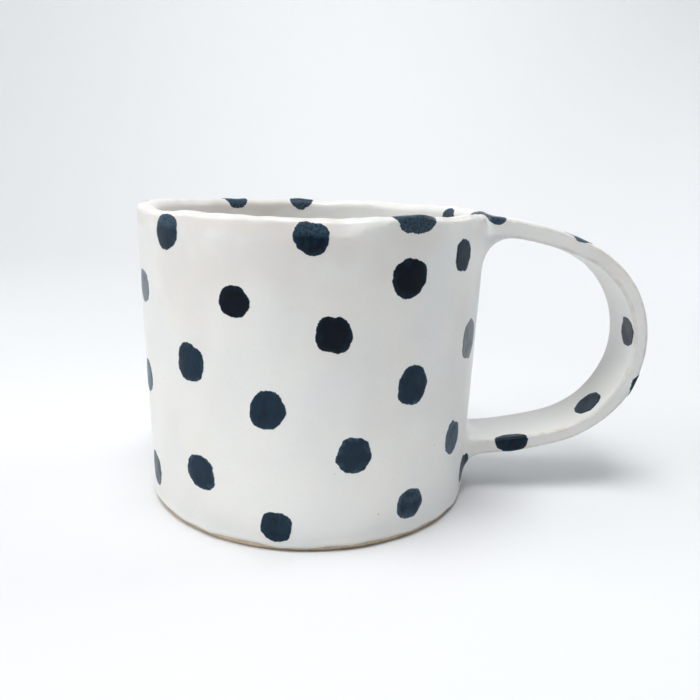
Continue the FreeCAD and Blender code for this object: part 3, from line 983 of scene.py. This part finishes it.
# shares of the outline's radius where a dot's grid has rings; colour ends at 1
DOT_RINGS = (
    0.08, 0.16, 0.24, 0.32, 0.40, 0.48, 0.56, 0.64, 0.72, 0.80, 0.86, 0.91, 0.95, 1.0, 1.05, 1.1,
)
# between these shares the colour thins out to nothing, and between the next its edge sinks
DOT_FADE = (1.07, 0.86)
DOT_SINK = (0.98, 1.1)
# the colour's unevenness: its size as a share of the rise, and its spacing across and up
SWELL = (0.22, 1.3 * MM, 1.1 * MM)
SPOKES = 96
OUTER_ARC = RIM_EDGE * math.pi / 2
INNER_ARC = RIM_ROUND * math.pi / 2
RIM_FLAT = WALL - RIM_EDGE - RIM_ROUND
STRAP_GIRTH = 2 * (STRAP_WIDTH + STRAP) - (8 - 2 * math.pi) * STRAP_EDGE


def cup_spot(azimuth, start):
    """Gives the place at (across, up) on the cup from a point start up its outside. Up carries on
    over the rim and down inside."""
    side = HEIGHT - RIM_EDGE
    ends = np.cumsum([side, OUTER_ARC, RIM_FLAT, INNER_ARC])
    outer_side, inner_side = outer_radius(RIM_START), outer_radius(RIM_START) - WALL

    def spot(across, up):
        way = start + up
        angle = azimuth + across / RIM_RADIUS
        outer = np.clip((way - ends[0]) / RIM_EDGE, 0, math.pi / 2)
        inner = math.pi / 2 - np.clip((way - ends[2]) / RIM_ROUND, 0, math.pi / 2)
        radius = outer_side - RIM_EDGE * (1 - np.cos(outer)) - np.clip(way - ends[1], 0, RIM_FLAT)
        height = side + RIM_EDGE * np.sin(outer)
        below = way < ends[0]
        radius = np.where(below, outer_radius(way), radius)
        height = np.where(below, way, height)
        past = way > ends[2]
        radius = np.where(past, inner_side + RIM_ROUND * (1 - np.cos(inner)), radius)
        height = np.where(past, HEIGHT - RIM_ROUND * (1 - np.sin(inner)), height)
        height = height - np.maximum(way - ends[3], 0)
        return np.stack([radius * np.cos(angle), radius * np.sin(angle), height], 1)

    return spot


def strap_spot(along, start):
    """Gives the place at (across, up) on the strap, going round its section from the middle of
    the outer face towards +Y and on over the edge."""
    half_width, half, edge = STRAP_WIDTH / 2, STRAP / 2, STRAP_EDGE
    flat, side, arc = half_width - edge, STRAP - 2 * edge, edge * math.pi / 2

    def spot(across, up):
        way = (start + across + STRAP_GIRTH / 2) % STRAP_GIRTH - STRAP_GIRTH / 2
        sign, way = np.sign(way) + (way == 0), np.abs(way)
        first = np.clip(way - flat, 0, arc) / edge
        second = np.clip(way - flat - arc - side, 0, arc) / edge
        last = np.maximum(way - flat - 2 * arc - side, 0)
        y = np.minimum(way, flat) + edge * np.sin(first) - edge * (1 - np.cos(second)) - last
        off = half - edge * (1 - np.cos(first)) - np.clip(way - flat - arc, 0, side)
        off = off - edge * np.sin(second)
        return strap_point(along - up, sign * y, off)

    return spot


# a dot's outline: how square it is and which way, then its raggedness, which is finer for each
# higher order of wave
SQUARENESS = (0.022, 0.4)
RAGGEDNESS = (0.075, 0.75)
RAGGED_ORDERS = (2, 3, 4, 5, 6, 7, 9, 12, 16)


def outline(seed):
    """How far a brushed dot reaches in each direction, as a share of an ellipse."""
    rng = np.random.default_rng(seed)
    angle = np.arange(SPOKES) * 2 * math.pi / SPOKES
    square, turn = SQUARENESS
    reach = 1 - square * np.cos(4 * angle + turn)
    whole, fall = RAGGEDNESS
    for order in RAGGED_ORDERS:
        size = whole / order ** fall
        reach = reach + size * rng.uniform(0.3, 1) * np.cos(order * angle + rng.uniform(0, 7))
    return angle, reach


def dot_grid(seed, width, height):
    """A dot's points as (across, up, share of its radius), ring by ring from its middle."""
    angle, reach = outline(seed)
    across, up, share = [np.zeros(1)], [np.zeros(1)], [np.zeros(1)]
    for ring in DOT_RINGS:
        across.append(ring * reach * np.cos(angle) * width / 2)
        up.append(ring * reach * np.sin(angle) * height / 2)
        share.append(np.full(SPOKES, ring))
    return (np.concatenate(part) for part in (across, up, share))


def dot_faces():
    """The dot's faces: a fan round its middle and a band of quads for each further ring."""
    faces = [(0, 1 + k, 1 + (k + 1) % SPOKES) for k in range(SPOKES)]
    for ring in range(len(DOT_RINGS) - 1):
        low, high = 1 + ring * SPOKES, 1 + (ring + 1) * SPOKES
        for k in range(SPOKES):
            following = (k + 1) % SPOKES
            faces.append((low + k, high + k, high + following, low + following))
    return faces


# keeps the lumps' seeds apart from the outlines'
LUMP_SEEDS = 900


def make_dot(node, spot, width, height, seed, surface, tone):
    """A dot of colour that follows the glaze under it."""
    across, up, share = dot_grid(seed, width, height)
    lumps = np.random.default_rng(seed + LUMP_SEEDS).uniform(0, 7, 3)
    base = onto(glazed, spot(across, up))
    normal = outwards(glazed, base)
    size, wide, tall = SWELL
    swell = size * np.sin(across / wide + lumps[0]) * np.sin(up / tall + lumps[1])
    rise = DOT_RISE * smooth(*DOT_FADE, share) * (1 + swell)
    rise = rise - DOT_EDGE_SUNK * smooth(*DOT_SINK, share)
    outer = base + normal * rise[:, None]
    inner = base - normal * DOT_SUNK
    whole, cells = shell(outer, dot_faces(), inner)
    made = piece(node + "_brushed", whole, cells, (node,), surface)
    thin = thinned(base)
    add_values(made, "reach", np.concatenate([share, share]))
    add_values(made, "tone", np.full(len(whole), tone))
    add_values(made, "thin", np.concatenate([thin, thin]))


def middle(node):
    low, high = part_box(node)
    return (low + high) / 2, high - low


# How thin the colour lies on some dots, from 0 for nearly black to 1.5 for a grey veil. The rest
# are drawn from USUAL_TONE.
USUAL_TONE = (0.3, 0.6)
TONES = {
    "wall_dot_01": 1.4, "wall_dot_02": 1.1, "wall_dot_03": 0.8, "wall_dot_04": 0.5,
    "wall_dot_05": 0.5, "wall_dot_06": 0.55, "wall_dot_07": 0.0, "wall_dot_08": 0.45,
    "wall_dot_09": 0.45, "wall_dot_10": 0.25, "wall_dot_11": 0.0, "wall_dot_12": 0.55,
    "wall_dot_13": 0.0, "wall_dot_14": 0.5, "wall_dot_15": 0.7, "wall_dot_16": 0.45,
    "wall_dot_17": 1.45, "wall_dot_18": 0.95, "handle_dot_2": 1.1, "rim_dot_1": 0.1,
}


# how far some of the strap's dots lie off its middle, across and up, so that they run over its edge
MOVED = {
    "handle_dot_1": (-7.0 * MM, 4.4 * MM),
    "handle_dot_2": (-5.8 * MM, -2.0 * MM),
    "handle_dot_5": (4.2 * MM, 0),
    "handle_dot_6": (-6.2 * MM, 0),
    "handle_dot_7": (2.0 * MM, 0),
    "handle_dot_8": (-1.5 * MM, 0),
}


# how much each dot's width and height may differ from its CAD node's
DOT_JITTER = (0.94, 1.06)
WIDEST_WALL_DOT = 9.8 * MM
# (width at the front, width at the back), then how far up and over the rim they go
RIM_DOT_WIDTHS = (11.6 * MM, 9.0 * MM)
RIM_DOT_HEIGHT = 10 * MM
INSIDE_DOT_WIDTH = 8.8 * MM
HANDLE_DOT_WIDTHS = (8 * MM, 10 * MM)
HANDLE_DOT_HEIGHT = 9.4 * MM
# this dot is wrapped round the strap's front edge
EDGE_DOT = "handle_dot_8"


def rim_top():
    """How far it is up the outside to the middle of the rim's top."""
    return HEIGHT - RIM_EDGE + OUTER_ARC + RIM_FLAT / 2


def wall_dot(centre, size, jitter):
    """Where a dot on the wall goes, its width and its height. The next three do the same."""
    width = min(math.hypot(size.x, size.y), WIDEST_WALL_DOT) * jitter[0]
    azimuth = math.atan2(centre.y, centre.x)
    return cup_spot(azimuth, centre.z), width, size.z * jitter[1]


def rim_dot(centre):
    front, back = RIM_DOT_WIDTHS
    azimuth = math.atan2(centre.y, centre.x)
    return cup_spot(azimuth, rim_top()), front if centre.y < 0 else back, RIM_DOT_HEIGHT


def inside_dot(centre, size):
    down = rim_top() + RIM_FLAT / 2 + INNER_ARC + RIM_START - centre.z
    azimuth = math.atan2(centre.y, centre.x)
    return cup_spot(azimuth, down), INSIDE_DOT_WIDTH, size.z


def handle_dot(node, centre, size, jitter):
    along, off, _ = along_strap(np.array([centre]))
    start = 0 if off[0] > 0 else STRAP_GIRTH / 2
    if node == EDGE_DOT:
        start = -STRAP_GIRTH / 4
    across, up = MOVED.get(node, (0, 0))
    wide = size.y if abs(centre.y) < abs(centre.x) else size.x
    least, most = HANDLE_DOT_WIDTHS
    width = min(max(wide, least) * jitter[0], most)
    return strap_spot(along[0] - up, start + across), width, HANDLE_DOT_HEIGHT * jitter[1]


def make_dots(surface):
    names = sorted(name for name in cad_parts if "dot" in name)
    rng = np.random.default_rng(7)
    for seed, node in enumerate(names, start=100):
        centre, size = middle(node)
        jitter = rng.uniform(*DOT_JITTER, 2)
        tone = TONES.get(node, float(rng.uniform(*USUAL_TONE)))
        if node.startswith("wall"):
            placed = wall_dot(centre, size, jitter)
        elif node.startswith("rim"):
            placed = rim_dot(centre)
        elif node.startswith("inside"):
            placed = inside_dot(centre, size)
        else:
            placed = handle_dot(node, centre, size, jitter)
        make_dot(node, *placed, seed, surface, tone)


# ---- the mug ----------------------------------------------------------------------------------

glaze, dots, clay = glaze_material(), dot_material(), clay_material()
cage = mug_cage()
make_glaze(cage, glaze)
make_clay(cage, clay)
make_wall(clay)
make_base(clay)
make_dots(dots)
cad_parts["corner_coil"].data.materials.clear()
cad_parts["corner_coil"].data.materials.append(clay)


# ---- stage and light --------------------------------------------------------------------------

FLOOR_FLAT = 0.55
SWEEP_ROUND = 0.5
SWEEP_TOP = 1.5
SWEEP_STEP = 6
STAGE_COLUMNS = 96
# shares of the flat floor's radius
STAGE_RINGS = (0.001, 0.3, 0.6, 1.0)
PAPER_PALE = (0.74, 0.75, 0.762, 1)
PAPER_PAINTED_SHADE = (0.10, 0.10, 0.10, 1)
# the side behind the camera is painted darker, a painted shade for the unlit side of the studio
# that also cuts the light bounced back onto the mug's front: how far round it lies, between which
# distances towards it and between which heights it comes in
DARK_TURN = 0.35
DARK_FROM = (0.2, 0.75)
DARK_ABOVE = (0.03, 0.3)


def add_stage():
    """A pale bowl: a flat floor that curves up into a wall all round, with painted shade on its
    side behind the camera.
    """
    outline = [(FLOOR_FLAT * share, 0.0) for share in STAGE_RINGS]
    for degrees in range(SWEEP_STEP, 91, SWEEP_STEP):
        angle = math.radians(degrees)
        out = FLOOR_FLAT + SWEEP_ROUND * math.sin(angle)
        outline.append((out, SWEEP_ROUND * (1 - math.cos(angle))))
    outline.append((FLOOR_FLAT + SWEEP_ROUND, SWEEP_TOP))
    points, faces = turned([lambda angle, spot=spot: spot for spot in outline], STAGE_COLUMNS)
    mesh = bpy.data.meshes.new("studio")
    mesh.from_pydata(points.tolist(), [], faces)
    mesh.polygons.foreach_set("use_smooth", [True] * len(mesh.polygons))
    paper = Surface("paper", Roughness=0.9)
    # painted shade: the paper darkens on the side behind the camera and up its wall
    behind = paper.maths("SUBTRACT", paper.times(paper.axis(0), DARK_TURN), paper.axis(1))
    share = paper.times(paper.ramp(behind, *DARK_FROM), paper.ramp(paper.axis(2), *DARK_ABOVE))
    colour = paper.blend(share, PAPER_PALE, PAPER_PAINTED_SHADE)
    paper.feed(paper.shader, {"Base Color": colour, "Specular IOR Level": 0.2})
    mesh.materials.append(paper.material)
    studio = bpy.data.objects.new("studio", mesh)
    bpy.context.collection.objects.link(studio)


MUG_MIDDLE = (0, 0, 0.04)


def add_light(name, place, size, power, colour=(1, 1, 1), target=MUG_MIDDLE):
    """A square soft light that shines at the mug, or at another target."""
    data = bpy.data.lights.new(name, "AREA")
    data.size = size
    data.energy = power
    data.color = colour
    light = bpy.data.objects.new(name, data)
    light.visible_camera = False
    bpy.context.collection.objects.link(light)
    aim = Vector(target) - Vector(place)
    turn = aim.to_track_quat("-Z", "Y").to_matrix().to_4x4()
    light.matrix_world = Matrix.Translation(place) @ turn


SKY = (0.94, 0.97, 1.0, 1)


def add_sky(strength):
    world = bpy.data.worlds.new("sky")
    world.use_nodes = True
    background = world.node_tree.nodes["Background"]
    background.inputs["Color"].default_value = SKY
    background.inputs["Strength"].default_value = strength
    bpy.context.scene.world = world


add_stage()
add_light("window", (-0.76, -0.20, 0.60), 0.6, 3.3, (1.0, 0.99, 0.97))
add_light("fill", (0.75, 0.38, 0.50), 0.45, 2.6, (0.93, 0.97, 1.0))
add_light("overhead", (-0.06, -0.16, 0.75), 0.35, 4.0)
add_light("bounce", (-0.01, -0.11, 0.002), 0.12, 0.019, target=(-0.01, -0.11, 1.0))
add_light("backdrop", (0.02, 0.5, 0.6), 0.22, 1.5, target=(0.02, 1.0, 0.3))
add_sky(0.50)
bpy.context.scene.view_settings.view_transform = "Standard"
